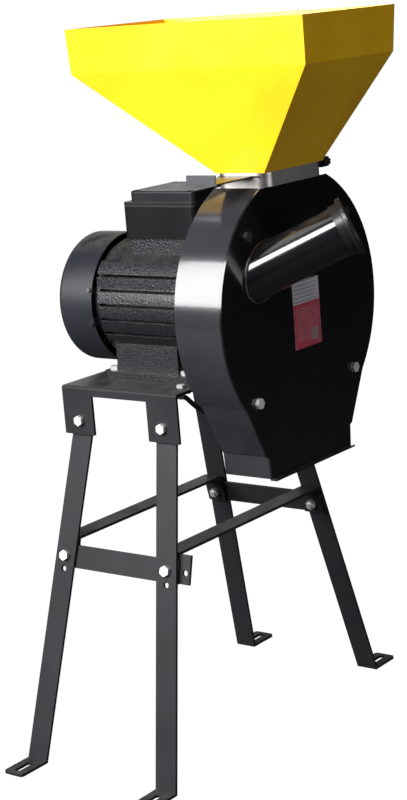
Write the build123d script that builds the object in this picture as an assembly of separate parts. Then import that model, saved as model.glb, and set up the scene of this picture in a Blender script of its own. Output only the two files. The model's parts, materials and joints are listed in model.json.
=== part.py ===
from build123d import *
import math
import os

# Hammer mill on a four-legged stand.  Millimetres, +Z up, the feed tube and
# cover face -Y, the motor lies behind the mill towards +Y.
# The origin is on the floor, in the middle of the four slots in the feet.

# ---------------------------------------------------------------- stand
PLATE_X = 288.0          # top plate across, over the bent sides
PLATE_Y = 200.0          # top plate along the motor
PLATE_TOP = 520.0        # height of the top plate
SHAFT_HEIGHT = 100.0     # shaft axis above the top plate
AXIS_Z = PLATE_TOP + SHAFT_HEIGHT
SHEET = 4.0              # plate and flat bar thickness
SKIRT = 13.0             # depth of the bent side between the tabs
TAB_DROP = 68.0          # length of the corner tabs
TAB_WIDTH = 52.0
LEG_WIDTH = 34.0
LEG_SPREAD_X = 255.0     # outer face of a leg at the floor
LEG_SPREAD_Y = 115.0     # middle of a leg at the floor
FOOT_LENGTH = 50.0
FOOT_SLOT = (22.0, 9.0)  # length between centres, width
BRACE_Z = 286.0          # height of the brace bolts
BRACE_HEIGHT = 32.0
LONG_BRACE_WIDTH = 29.0
END_PLATE_DROP = 40.0    # height of a long brace's end plate
WIDE_END = 18.0          # reach of the wide end plate past the leg
FOOT_SLOT_X = LEG_SPREAD_X + FOOT_LENGTH - 23
TAB_BOLT_Z = PLATE_TOP - TAB_DROP + 20
HOLE_STEP = 18.0         # spare hole below each brace bolt
BOLT_D = 8.0             # M8 everywhere on the stand
HOLE_GAP = 0.5           # a bolt hole is this much larger than its bolt
HEX_AF = 13.0
HEX_HEAD = 5.3
HEX_NUT = 6.5

# ---------------------------------------------------------------- motor
FRAME_R = 86.0
STATOR_R = 66.0
STATOR_BORE = 38.0
ROTOR_GAP = 0.4
FRAME_Y0 = -78.0
FRAME_Y1 = 70.0
STACK_Y = (-52.0, 42.0)
SHAFT_D = 24.0
JOURNAL_D = 25.0
BEARING_OD = 52.0
BEARING_W = 15.0
FLANGE_R = 82.0
FOOT_PITCH_X = 140.0
FOOT_PITCH_Y = 125.0
FOOT_T = 9.0
FOOT_X = 164.0
PEDESTAL_X = 150.0
PEDESTAL_TOP = 46.0
FIN_PITCH = 20.5
FIN_GAP = 4.0
FIN_DEPTH = 14.0
FAN_COVER_R = FRAME_R + 6
FAN_COVER_Y = (77.0, 139.0)
COVER_SKIN = 1.6
FAN_R = 78.0
BOX_X = 108.0
BOX_Y = (-86.0, 38.0)
BOX_Z0 = AXIS_Z + 92
BOX_H = 44.0
BOX_WALL = 4.0
LID_Y = (-86.0, 26.0)
LID_H = 19.0
LID_SCREWS = tuple((sx, y) for sx in (-1, 1) for y in (LID_Y[0] + 10, LID_Y[1] - 9))
TIE_D = 5.0
TIE_CIRCLE = (STATOR_R + FRAME_R) / 2    # through the solid ring of the frame
TIE_ANGLES = (52, 128, 232, 308)
SPIGOT_GAP = 0.1         # radial, shields in the stator's bore
LUG_ANGLES = (15, 165, 195, 345)
GLAND_D = 18.0
GLAND_Y = -30.0
GLAND_Z = BOX_Z0 + 22
RELIEF = 26.0            # length of the cord's strain relief

# ----------------------------------------------------------------- mill
MILL_BACK = -137.0       # rear face of the housing
COVER_FACE = -213.0      # front face of the cover
COVER_T = 3.0
MILL_FRONT = COVER_FACE + COVER_T        # where cover and band meet
BACK_T = 4.0
BAND_T = 3.0
BAND_R = 179.0
COVER_R = BAND_R + 2
MILL_TOP = AXIS_Z + 164  # flat that carries the neck
TAPER_ANGLE = 40.0       # the round ends this far below the axis
CHUTE_TOP_X = 103.0
CHUTE_TOP_Z = AXIS_Z - 184
CHUTE_X = 96.0
OUTLET_Z = AXIS_Z - 217
COVER_LIP = 7.0
COVER_BOLTS = tuple((x, AXIS_Z + dz) for dz in (-110, 108) for x in (-115, 115))
POST_R = 9.0
SCREEN_R = 149.0
RAIL_DROP = 40.0         # top of the screen's rails below the axis
RAIL_T = 3.0
SCREEN_T = 1.5
DISC_R = 100.0
DISC_T = 5.0
DISC_Y = (-192.0, -158.0)   # front face of the front disc, front face of the rear disc
PIN_CIRCLE = 84.0
PIN_D = 10.0
HAMMER_T = 6.0
HAMMER_W = 24.0
HAMMER_REACH = 54.0
HUB_R = 22.0
RUN_GAP = 0.05           # radial clearance of a running fit
SIDE_GAP = 0.3           # between a hammer and its spacers
HAMMER_Y = (DISC_Y[0] + DISC_T + DISC_Y[1]) / 2
KEY_W = 8.0
FLANGE_BOLT_CIRCLE = 70.0
FRONT_BEARING_Y = MILL_BACK + 12
REAR_BEARING_Y = FRAME_Y1 - 12
STICKER = (-22.0, 41.0, AXIS_Z - 59, AXIS_Z + 32)
STICKER_T = 0.4

# ---------------------------------------------------- hopper, neck, gate
NECK_X = 137.0
NECK_Y = (-216.0, -136.0)
NECK_H = 19.0
NECK_WALL = 5.0
NECK_ROUND = 17.0
GATE_T = 2.0
GATE_GROOVE = 2.6
GATE_Z = MILL_TOP + NECK_H - 5
GATE_HANDLE_Y = (-195.0, -147.0)
GATE_HANDLE = 75.5       # reach of the handle past the neck
GATE_HANDLE_UP = 13.0
LOCK_Y = -200.0
LOCK_R = 3.0
KNOB_R = 7.0
HOPPER_T = 1.5
HOPPER_FOLD_Z = AXIS_Z + 320
HOPPER_TOP_Z = AXIS_Z + 380
HOPPER_FOLD = (103.0, -313.0, 65.0)     # half width, front, rear
HOPPER_RIM = (107.5, -316.0, 66.0)

# ------------------------------------------------------------- feed tube
TUBE_D = 66.0
TUBE_T = 2.0
TUBE_BASE = (-85.0, AXIS_Z + 58)
TUBE_LENGTH = 126.0
TUBE_DIR = (0.528, -0.75, 0.399)
CAP_GAP = 0.3            # radial, cap over tube
CAP_SEAT = 0.4           # between the tube's end and the cap
CAP_WALL = 1.5
CAP_DEPTH = 15.0
CAP_DISC = 8.0           # thickness of the cap's wide end
CAP_D = TUBE_D + 12

# ------------------------------------------------------------------ cord
CORD_D = 7.0
COIL_R = (33.5, 40.5)    # middle of the inner and the outer turns
COIL_LAYERS = 2
COIL_CENTRE = (128.0, -38.0)
TIE_T = 1.2
CORD_ROUTE = [
    (92, -30, 734), (120, -30, 732), (150, -34, 718), (174, -40, 688), (187, -45, 643),
    (190, -48, 592), (187, -48, 542), (174, -40, 500), (142, -24, 478), (98, -8, 474),
    (50, 4, 481), (4, 12, 492), (-36, 17, 500), (-72, 17, 506), (-106, 13, 509.5),
    (-129, -8, 511.5), (-131, -38, 511.5), (-114, -59, 510.5), (-78, -62, 502),
    (-48, -52, 482.5), (-16, -40, 465), (16, -27, 452), (50, -15, 444), (86, -5, 441),
    (120, 6, 445), (149, 16, 460), (168, 18, 485), (173, 4, 508), (169, -17, 524.5),
]
PLUG_R = 18.5
PLUG_TURN = 30.0         # the cord leaves the coil this far round towards +X
COIL_EXIT = 17.0         # from the tangent point of the outer turn to the plug
CLIP_BOLT_D = 6.0
CLIP_AT = (-105.0, -79.0)
CLIP_LOOP = (-96.0, -60.0, 507.0)


# ================================================================ helpers
def save(shape, name):
    parts = shape.solids() if hasattr(shape, "solids") else ShapeList(shape)
    body = parts[0] if len(parts) == 1 else Compound(children=list(parts))
    export_step(body, f"parts/{name}.step")


def group(items):
    return Compound(children=[s for item in items for s in item.solids()])


def block(x, y, z):
    """Box between pairs of coordinates."""
    size = (x[1] - x[0], y[1] - y[0], z[1] - z[0])
    return Pos((x[0] + x[1]) / 2, (y[0] + y[1]) / 2, (z[0] + z[1]) / 2) * Box(*size)


def along_y(radius, y0, y1, x=0.0, z=AXIS_Z):
    """Cylinder along Y between y0 and y1."""
    return Pos(x, (y0 + y1) / 2, z) * Rot(90, 0, 0) * Cylinder(radius, abs(y1 - y0))


def along_x(radius, x0, x1, y, z):
    return Pos((x0 + x1) / 2, y, z) * Rot(0, 90, 0) * Cylinder(radius, abs(x1 - x0))


def upright(radius, z0, z1, x, y):
    return Pos(x, y, (z0 + z1) / 2) * Cylinder(radius, z1 - z0)


def hexagon(af, height):
    """Hexagonal prism standing on z = 0, af across flats."""
    return extrude(RegularPolygon(af / 2, 6, major_radius=False), height)


def bolt(length, diameter=BOLT_D, af=HEX_AF, head=HEX_HEAD):
    """Hex bolt along Z: shank from 0 down to -length, head above 0."""
    body = hexagon(af, head)
    body = body & Pos(0, 0, head / 2) * Cylinder(af * 0.565, head)
    return body + Pos(0, 0, -length / 2) * Cylinder(diameter / 2, length)


def nut(diameter=BOLT_D, af=HEX_AF, height=HEX_NUT):
    """Hex nut from z = 0 up, with a clear bore."""
    return hexagon(af, height) - Pos(0, 0, height / 2) * Cylinder(diameter / 2, height)


def hole(diameter=BOLT_D):
    return (diameter + HOLE_GAP) / 2


def ring_places(radius, angles):
    """Points (x, z) on a circle about the shaft axis."""
    return tuple((radius * math.cos(math.radians(a)), AXIS_Z + radius * math.sin(math.radians(a)))
                 for a in angles)


DIAGONALS = (45, 135, 225, 315)
TIE_AT = ring_places(TIE_CIRCLE, TIE_ANGLES)
FLANGE_BOLTS = ring_places(FLANGE_BOLT_CIRCLE, DIAGONALS)
PIN_AT = ring_places(PIN_CIRCLE, DIAGONALS)


# ================================================================== stand
def leg_x(z):
    """Outer face of a leg at height z."""
    bend = PLATE_TOP - TAB_DROP - 2
    top = PLATE_X / 2 - SHEET
    if z >= bend:
        return top
    return top + (bend - z) * (LEG_SPREAD_X - top) / bend


def leg_y(z):
    """Middle of a leg at height z."""
    tab_middle = PLATE_Y / 2 - TAB_WIDTH / 2
    bend = PLATE_TOP - TAB_DROP
    return tab_middle + (bend - z) * (LEG_SPREAD_Y - tab_middle) / bend


LEG_TILT = math.degrees(math.atan2(LEG_SPREAD_X - PLATE_X / 2 + SHEET, PLATE_TOP - TAB_DROP - 2))
TAB_BOLT_Y = leg_y(TAB_BOLT_Z)


def leg_section(z, thick):
    x1 = leg_x(z)
    return Pos(x1 - thick / 2, leg_y(z), z) * Rectangle(thick, LEG_WIDTH)


def on_leg(shape, z, depth=0.0):
    """Put a shape made along Z (outwards) on the outer face of the +X +Y leg at
    height z, sunk by depth."""
    return Pos(leg_x(z), leg_y(z), z) * Rot(0, 90 - LEG_TILT, 0) * Pos(0, 0, -depth) * shape


def leg():
    """Flat bar bent below its tab and again at the foot, for the +X +Y corner."""
    bend = PLATE_TOP - TAB_DROP - 2
    slant = SHEET / math.cos(math.radians(LEG_TILT))
    top = loft([leg_section(bend, SHEET), leg_section(PLATE_TOP - SHEET - 2, SHEET)], ruled=True)
    shank = loft([leg_section(0, slant), leg_section(bend, slant)], ruled=True)
    heel = LEG_SPREAD_X - slant
    foot = block((heel, LEG_SPREAD_X + FOOT_LENGTH),
                 (LEG_SPREAD_Y - LEG_WIDTH / 2, LEG_SPREAD_Y + LEG_WIDTH / 2), (0, SHEET))
    foot = fillet(foot.edges().filter_by(Axis.Z).group_by(Axis.X)[-1], 5)
    bar = top + shank + foot
    slot = extrude(SlotCenterToCenter(*FOOT_SLOT), SHEET * 3)
    bar -= Pos(FOOT_SLOT_X, LEG_SPREAD_Y, -SHEET) * slot
    bar -= along_x(hole(), leg_x(TAB_BOLT_Z) - 20, leg_x(TAB_BOLT_Z) + 20, TAB_BOLT_Y, TAB_BOLT_Z)
    for z in (BRACE_Z, BRACE_Z - HOLE_STEP):
        bar -= on_leg(Cylinder(hole(), 30), z)
    return bar


def corners(shape):
    """The same piece at all four corners, by reflection from +X +Y."""
    left = mirror(shape, about=Plane.YZ)
    return {
        "rear_right": shape,
        "rear_left": left,
        "front_right": mirror(shape, about=Plane.XZ),
        "front_left": mirror(left, about=Plane.XZ),
    }


def top_plate():
    x, y = PLATE_X / 2, PLATE_Y / 2
    plate = block((-x, x), (-y, y), (PLATE_TOP - SHEET, PLATE_TOP))
    for s in (-1, 1):
        side = block(sorted((s * x, s * (x - SHEET))), (-y, y), (PLATE_TOP - SKIRT, PLATE_TOP))
        plate += side
        for t in (-1, 1):
            span = sorted((t * y, t * (y - TAB_WIDTH)))
            plate += block(sorted((s * x, s * (x - SHEET))), span, (PLATE_TOP - TAB_DROP, PLATE_TOP))
    plate = fillet(plate.edges().filter_by(Axis.Y).group_by(Axis.Z)[-1], SHEET * 0.9)
    for s in (-1, 1):
        for t in (-1, 1):
            plate -= along_x(hole(), s * (x - 12), s * (x + 12), t * TAB_BOLT_Y, TAB_BOLT_Z)
            foot = (s * FOOT_PITCH_X / 2, t * FOOT_PITCH_Y / 2)
            plate -= upright(hole(), PLATE_TOP - 10, PLATE_TOP + 10, *foot)
    plate -= upright(hole(CLIP_BOLT_D), PLATE_TOP - 10, PLATE_TOP + 10, *CLIP_AT)
    return plate


def cross_brace():
    """Flat bar between the two +X legs, on their inner faces."""
    half = leg_y(BRACE_Z) + LEG_WIDTH / 2
    bar = Pos(leg_x(BRACE_Z), 0, BRACE_Z) * Rot(0, 90 - LEG_TILT, 0) * (
        Pos(0, 0, -1.5 * SHEET) * Box(BRACE_HEIGHT, 2 * half, SHEET))
    for t in (-1, 1):
        at = Pos(leg_x(BRACE_Z), t * leg_y(BRACE_Z), BRACE_Z) * Rot(0, 90 - LEG_TILT, 0)
        bar -= at * Cylinder(hole(), 40)
    return bar


def end_plate(y, reach):
    """Plate on a +X leg's inner side at the end of a long brace. With a reach it goes
    that far past the leg towards -Y and has a second hole there."""
    z = BRACE_Z + BRACE_HEIGHT / 2 + 4 + SHEET
    width = LEG_WIDTH - 2 + reach
    plate = Pos(leg_x(z), y - reach / 2, z) * Rot(0, 90 - LEG_TILT, 0) * (
        Pos(END_PLATE_DROP / 2, 0, -2.5 * SHEET) * Box(END_PLATE_DROP, width, SHEET))
    for dy in ((0, -LEG_WIDTH / 2 - reach / 2) if reach else (0,)):
        at = Pos(leg_x(BRACE_Z), y + dy, BRACE_Z) * Rot(0, 90 - LEG_TILT, 0)
        plate -= at * Cylinder(hole(), 60)
    return plate


def long_brace(y, left_reach):
    """Flat bar along X for a pair of legs, with an end plate on each leg."""
    z0 = BRACE_Z + BRACE_HEIGHT / 2 + 4
    inner = leg_x(z0 + SHEET) - 2 * SHEET / math.cos(math.radians(LEG_TILT))
    bar = block((-inner, inner), (y - LONG_BRACE_WIDTH / 2, y + LONG_BRACE_WIDTH / 2), (z0, z0 + SHEET))
    return bar + end_plate(y, 0) + mirror(end_plate(y, left_reach), about=Plane.YZ)


def stand():
    save(top_plate(), "stand_top_plate")
    for name, shape in corners(leg()).items():
        save(shape, f"leg_{name}")
    right = cross_brace()
    save(right, "cross_brace_right")
    save(mirror(right, about=Plane.YZ), "cross_brace_left")
    save(long_brace(leg_y(BRACE_Z), 0), "long_brace_rear")
    save(long_brace(-leg_y(BRACE_Z), WIDE_END), "long_brace_front")
    x = PLATE_X / 2
    tab_bolt = Pos(x, TAB_BOLT_Y, TAB_BOLT_Z) * Rot(0, 90, 0) * bolt(18)
    tab_nut = Pos(x - 2 * SHEET, TAB_BOLT_Y, TAB_BOLT_Z) * Rot(0, -90, 0) * nut()
    brace_bolt = on_leg(bolt(22), BRACE_Z)
    brace_nut = on_leg(Rot(180, 0, 0) * nut(), BRACE_Z, 3 * SHEET)
    foot_bolt = Pos(FOOT_PITCH_X / 2, FOOT_PITCH_Y / 2, PLATE_TOP + FOOT_T) * bolt(26)
    foot_nut = Pos(FOOT_PITCH_X / 2, FOOT_PITCH_Y / 2, PLATE_TOP - SHEET) * Rot(180, 0, 0) * nut()
    bolts = [piece for kind in (tab_bolt, brace_bolt, foot_bolt) for piece in corners(kind).values()]
    save(group(bolts), "stand_bolts")
    nuts = [piece for kind in (tab_nut, brace_nut, foot_nut) for piece in corners(kind).values()]
    save(group(nuts), "stand_nuts")


# ================================================================== motor
def motor_frame():
    """Finned round frame with two feet and a pad for the terminal box."""
    frame = along_y(FRAME_R, FRAME_Y0, FRAME_Y1)
    pad = block((-BOX_X / 2 + 4, BOX_X / 2 - 4), (BOX_Y[0] + 10, BOX_Y[1] - 8), (AXIS_Z, BOX_Z0))
    shoulder = block((-FRAME_R + 2, FRAME_R - 2), (FRAME_Y0, FRAME_Y1), (AXIS_Z + 28, AXIS_Z + 62))
    shoulder = shoulder & along_y(FRAME_R + 8, FRAME_Y0, FRAME_Y1)
    pedestal = block((-PEDESTAL_X / 2, PEDESTAL_X / 2), (-FOOT_PITCH_Y / 2 + 6, FOOT_PITCH_Y / 2 - 6),
                     (PLATE_TOP, PLATE_TOP + PEDESTAL_TOP))
    flange = block((-FOOT_X / 2, FOOT_X / 2), (-FOOT_PITCH_Y / 2 - 13, FOOT_PITCH_Y / 2 + 13),
                   (PLATE_TOP, PLATE_TOP + FOOT_T))
    flange = fillet(flange.edges().filter_by(Axis.Z), 8)
    frame += shoulder
    frame += pad
    frame += pedestal
    frame += flange
    frame -= block((-48, 48), (-200, 200), (PLATE_TOP - 1, PLATE_TOP + 20))
    frame -= along_y(STATOR_R, FRAME_Y0 - 1, FRAME_Y1 + 1)
    for side in (-1, 1):
        for row in range(5):
            z = AXIS_Z + 44 - FIN_PITCH * row
            edge = math.sqrt(FRAME_R ** 2 - (z - AXIS_Z) ** 2)
            span = sorted((side * (edge - FIN_DEPTH), side * (FRAME_R + 15)))
            frame -= block(span, (FRAME_Y0 + 6, FRAME_Y1 + 1), (z - FIN_GAP / 2, z + FIN_GAP / 2))
    for sx in (-1, 1):
        for sy in (-1, 1):
            x, y = sx * FOOT_PITCH_X / 2, sy * FOOT_PITCH_Y / 2
            frame -= upright(hole(), PLATE_TOP - 1, PLATE_TOP + PEDESTAL_TOP / 2, x, y)
            frame -= upright(10, PLATE_TOP + FOOT_T, PLATE_TOP + PEDESTAL_TOP + 5, x, y)
    for x, z in TIE_AT:
        frame -= along_y(TIE_D / 2 + 0.3, FRAME_Y0 - 1, FRAME_Y1 + 1, x, z)
    frame -= upright(12, AXIS_Z + 50, BOX_Z0 + 5, 0, -10)
    return frame


def front_shield():
    """Drive-end shield and mounting flange with the front bearing seat."""
    y0, y1 = MILL_BACK, FRAME_Y0
    body = along_y(FLANGE_R, y0, y0 + 12) + along_y(60, y0, y1)
    body += along_y(FRAME_R - 2, y1 - 10, y1)
    body += along_y(STATOR_R - SPIGOT_GAP, y1, y1 + 5)
    body -= along_y(48, y0 + 22, y1 + 6)
    body += along_y(BEARING_OD / 2 + 7, y0 + 4, y0 + 34)
    body -= along_y(BEARING_OD / 2, y0 + 12, y0 + 60)
    body -= along_y(SHAFT_D / 2 + 1.5, y0 - 1, y0 + 40)
    for x, z in TIE_AT:
        body -= along_y(TIE_D / 2 + 0.3, y1 - 20, y1 + 10, x, z)
    for x, z in FLANGE_BOLTS:
        body -= along_y(BOLT_D / 2, y0 - 1, y0 + 20, x, z)
    return body


def rear_shield():
    body = along_y(FRAME_R - 3, FRAME_Y1, FRAME_Y1 + 7)
    body += along_y(STATOR_R - SPIGOT_GAP, FRAME_Y1 - 5, FRAME_Y1)
    body += along_y(BEARING_OD / 2 + 7, REAR_BEARING_Y, FRAME_Y1 + 7)
    body -= along_y(BEARING_OD / 2, REAR_BEARING_Y - 1, REAR_BEARING_Y + BEARING_W)
    body -= along_y(JOURNAL_D / 2 + 1.5, REAR_BEARING_Y, FRAME_Y1 + 9)
    for x, z in TIE_AT:
        body -= along_y(TIE_D / 2 + 0.3, FRAME_Y1 - 10, FRAME_Y1 + 10, x, z)
    return body


def bearing(y0):
    ring = along_y(BEARING_OD / 2, y0, y0 + BEARING_W)
    ring -= along_y(JOURNAL_D / 2 + RUN_GAP, y0 - 1, y0 + BEARING_W + 1)
    return ring


def shaft():
    body = along_y(SHAFT_D / 2, DISC_Y[0], FRONT_BEARING_Y)
    body += along_y(JOURNAL_D / 2, FRONT_BEARING_Y, FRONT_BEARING_Y + BEARING_W)
    body += along_y(JOURNAL_D / 2 + 3, FRONT_BEARING_Y + BEARING_W, REAR_BEARING_Y)
    body += along_y(JOURNAL_D / 2, REAR_BEARING_Y, REAR_BEARING_Y + BEARING_W)
    body += along_y(10, REAR_BEARING_Y + BEARING_W, 112)
    body -= along_y(4, DISC_Y[0] - 1, DISC_Y[0] + 24)
    body -= key_block()
    return body


def key_block():
    z = AXIS_Z + SHAFT_D / 2
    return block((-KEY_W / 2, KEY_W / 2), (-186, -154), (z - KEY_W / 2, z + KEY_W / 2 - 1))


def stator():
    core = along_y(STATOR_R, *STACK_Y) - along_y(STATOR_BORE, STACK_Y[0] - 1, STACK_Y[1] + 1)
    save(core, "stator_core")
    ends = []
    for y0, y1 in ((STACK_Y[0] - 15, STACK_Y[0]), (STACK_Y[1], STACK_Y[1] + 13)):
        ends.append(along_y(STATOR_R - 7, y0, y1) - along_y(STATOR_BORE + 5, y0 - 1, y1 + 1))
    save(group(ends), "stator_windings")


def rotor_core():
    core = along_y(STATOR_BORE - ROTOR_GAP, *STACK_Y)
    for y0, y1 in ((STACK_Y[0] - 6, STACK_Y[0]), (STACK_Y[1], STACK_Y[1] + 6)):
        core += along_y(STATOR_BORE - 4, y0, y1)
    return core - along_y(JOURNAL_D / 2 + 3, STACK_Y[0] - 9, STACK_Y[1] + 9)


def cooling_fan():
    """Radial fan: hub, back disc and seven straight blades."""
    y0 = 88.0
    fan = along_y(18, y0, y0 + 26) + along_y(FAN_R, y0, y0 + 2.5)
    blade = block((15, FAN_R - 2), (y0, y0 + 24), (-1.2, 1.2))
    for k in range(7):
        fan += Pos(0, 0, AXIS_Z) * Rot(0, 360 / 7 * k, 0) * blade
    return fan - along_y(10, y0 - 1, y0 + 27)


def fan_cover():
    """Cup of sheet steel with rings of slots in its end."""
    y0, y1 = FAN_COVER_Y
    cup = along_y(FAN_COVER_R, y0, y1)
    edge = cup.edges().filter_by(GeomType.CIRCLE).sort_by(Axis.Y)[-1]
    cup = fillet(edge, 7)
    cup -= along_y(FAN_COVER_R - COVER_SKIN, y0 - 1, y1 - 8) + along_y(FAN_COVER_R - 8, y0, y1 - COVER_SKIN)
    for radius, count in ((26, 8), (44, 14), (62, 20)):
        for k in range(count):
            a = 360 / count * k
            slot = Rot(90, 0, 0) * Pos(radius, 0, 0) * extrude(SlotOverall(13, 5), 10, both=True)
            cup -= Pos(0, y1, AXIS_Z) * Rot(0, a, 0) * slot
    cup += fan_cover_lugs()
    for a in LUG_ANGLES:
        cup -= lug_place(a) * Cylinder(1.7, 60)
    return cup


def lug_place(angle):
    """Radial direction at an angle, as the local Z of a screw."""
    a = math.radians(angle)
    y = FAN_COVER_Y[0] + 5
    return Pos(FAN_COVER_R * math.cos(a), y, AXIS_Z + FAN_COVER_R * math.sin(a)) * Rot(0, 90 - angle, 0)


def fan_cover_lugs():
    """Inward lugs that meet the rear shield."""
    lugs = None
    for a in LUG_ANGLES:
        lug = lug_place(a) * Pos(0, 0, -5.5) * Box(11, 9, 9)
        lugs = lug if lugs is None else lugs + lug
    return lugs


def terminal_box():
    x = BOX_X / 2
    body = block((-x, x), BOX_Y, (BOX_Z0, BOX_Z0 + BOX_H))
    body = fillet(body.edges().filter_by(Axis.Z), 8)
    w = BOX_WALL
    body -= block((-x + w, x - w), (BOX_Y[0] + w, BOX_Y[1] - w), (BOX_Z0 + w, BOX_Z0 + BOX_H + 1))
    body -= upright(12, BOX_Z0 - 1, BOX_Z0 + 8, 0, -10)
    body -= along_x(GLAND_D / 2, x - 10, x + 10, GLAND_Y, GLAND_Z)
    for sx, y in LID_SCREWS:
        body += block(sorted((sx * (x - 3), sx * (x - 14))), (y - 5, y + 5), (BOX_Z0 + 3, BOX_Z0 + BOX_H))
        body -= upright(2.0, BOX_Z0 + BOX_H - 18, BOX_Z0 + BOX_H + 1, sx * (x - 9), y)
    save(body, "terminal_box")
    z0 = BOX_Z0 + BOX_H
    gasket = block((-x, x), BOX_Y, (z0, z0 + 2))
    gasket = fillet(gasket.edges().filter_by(Axis.Z), 8)
    gasket -= block((-x + 16, x - 16), (BOX_Y[0] + 16, LID_Y[1] - 16), (z0 - 1, z0 + 3))
    lid = block((-x + 3, x - 3), (LID_Y[0] + 1, LID_Y[1]), (z0 + 2, z0 + 2 + LID_H))
    lid = fillet(lid.edges().filter_by(Axis.Z), 7)
    lid = fillet(lid.faces().sort_by(Axis.Z)[-1].edges(), 2.5)
    rim = block((-x, x), BOX_Y, (z0 + 2, z0 + 6))
    lid += fillet(rim.edges().filter_by(Axis.Z), 8)
    lid -= block((-x + 8, x - 8), (LID_Y[0] + 7, LID_Y[1] - 6), (z0 + 1, z0 + LID_H - 2))
    screws = []
    for sx, y in LID_SCREWS:
        lid -= upright(5.2, z0 + 8, z0 + LID_H + 5, sx * (x - 9), y)
        lid -= upright(2.3, z0, z0 + 10, sx * (x - 9), y)
        gasket -= upright(2.3, z0 - 1, z0 + 3, sx * (x - 9), y)
        screw = upright(4.2, z0 + 8, z0 + 11, sx * (x - 9), y)
        screw += upright(2.0, z0 - 14, z0 + 8, sx * (x - 9), y)
        screw -= block((sx * (x - 9) - 3.5, sx * (x - 9) + 3.5), (y - 0.5, y + 0.5), (z0 + 10, z0 + 12))
        screws.append(screw)
    save(gasket, "terminal_box_gasket")
    save(lid, "terminal_box_lid")
    return screws


def terminal_block():
    board = block((-26, 26), (-66, -22), (BOX_Z0 + BOX_WALL, BOX_Z0 + 12))
    for x in (-16, 0, 16):
        for y in (-54, -34):
            board += upright(3.2, BOX_Z0 + 12, BOX_Z0 + 26, x, y)
    return board


def capacitor():
    """Run capacitor lying along Y in the rear half of the terminal box."""
    radius = 17.5
    return Pos(-22, 4, BOX_Z0 + BOX_WALL + radius + 1) * Rot(90, 0, 0) * Cylinder(radius, 44)


def gland():
    x = BOX_X / 2
    body = along_x(GLAND_D / 2 - 0.1, x - 4, x + 0.5, GLAND_Y, GLAND_Z)
    body += Pos(x, GLAND_Y, GLAND_Z) * Rot(0, 90, 0) * hexagon(24, 7)
    body += along_x(11, x + 7, x + 12, GLAND_Y, GLAND_Z)
    body += Pos(x - 4, GLAND_Y, GLAND_Z) * Rot(0, -90, 0) * hexagon(24, 5)
    return body - along_x(CORD_D / 2, x - 30, x + 40, GLAND_Y, GLAND_Z)


def strain_relief():
    x = BOX_X / 2 + 12
    cone = Pos(x + RELIEF / 2, GLAND_Y, GLAND_Z) * Rot(0, 90, 0) * Cone(8.5, 5.2, RELIEF)
    return cone - along_x(CORD_D / 2, x - 1, x + RELIEF + 1, GLAND_Y, GLAND_Z)


def motor():
    save(motor_frame(), "motor_frame")
    save(front_shield(), "motor_front_shield")
    save(rear_shield(), "motor_rear_shield")
    save(group([bearing(FRONT_BEARING_Y), bearing(REAR_BEARING_Y)]), "motor_bearings")
    save(shaft(), "motor_shaft")
    stator()
    save(rotor_core(), "rotor_core")
    save(cooling_fan(), "cooling_fan")
    save(fan_cover(), "fan_cover")
    screws = [lug_place(a) * (Pos(0, 0, 1.2) * Cylinder(3.4, 2.4) + Pos(0, 0, -4.6) * Cylinder(1.7, 9.2))
              for a in LUG_ANGLES]
    rods = []
    for x, z in TIE_AT:
        head = Pos(x, FRAME_Y1 + 7, z) * Rot(-90, 0, 0) * hexagon(8, 3.5)
        rods.append(head + along_y(TIE_D / 2, FRAME_Y0 - 9, FRAME_Y1 + 7, x, z))
    save(group(rods), "tie_bolts")
    save(group(screws + terminal_box()), "motor_screws")
    save(terminal_block(), "terminal_block")
    save(capacitor(), "run_capacitor")
    save(gland(), "cable_gland")
    save(strain_relief(), "strain_relief")


# =================================================================== mill
def outline(radius, top_z, chute_top, chute_bottom, y, step=0.0):
    """Closed wire: round body cut flat at the top, tapering to the chute."""
    a = math.radians(TAPER_ANGLE)
    tx = math.sqrt(radius ** 2 - (top_z - AXIS_Z) ** 2)
    cx, cz = radius * math.cos(a), AXIS_Z - radius * math.sin(a)
    right = [
        Line((tx, 0, top_z), (-tx, 0, top_z)),
        ThreePointArc((-tx, 0, top_z), (-radius, 0, AXIS_Z), (-cx, 0, cz)),
        Line((-cx, 0, cz), (-chute_top[0], 0, chute_top[1])),
        Line((-chute_top[0], 0, chute_top[1]), (-chute_bottom[0] - step, 0, chute_top[1] - 3)),
        Line((-chute_bottom[0] - step, 0, chute_top[1] - 3), (-chute_bottom[0], 0, chute_bottom[1])),
        Line((-chute_bottom[0], 0, chute_bottom[1]), (chute_bottom[0], 0, chute_bottom[1])),
        Line((chute_bottom[0], 0, chute_bottom[1]), (chute_bottom[0] + step, 0, chute_top[1] - 3)),
        Line((chute_bottom[0] + step, 0, chute_top[1] - 3), (chute_top[0], 0, chute_top[1])),
        Line((chute_top[0], 0, chute_top[1]), (cx, 0, cz)),
        ThreePointArc((cx, 0, cz), (radius, 0, AXIS_Z), (tx, 0, top_z)),
    ]
    return Pos(0, y, 0) * make_face(Wire(right))


def prism(face, depth):
    """Extrude a face that lies in an XZ plane towards +Y."""
    return extrude(face, depth, dir=(0, 1, 0))


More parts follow.
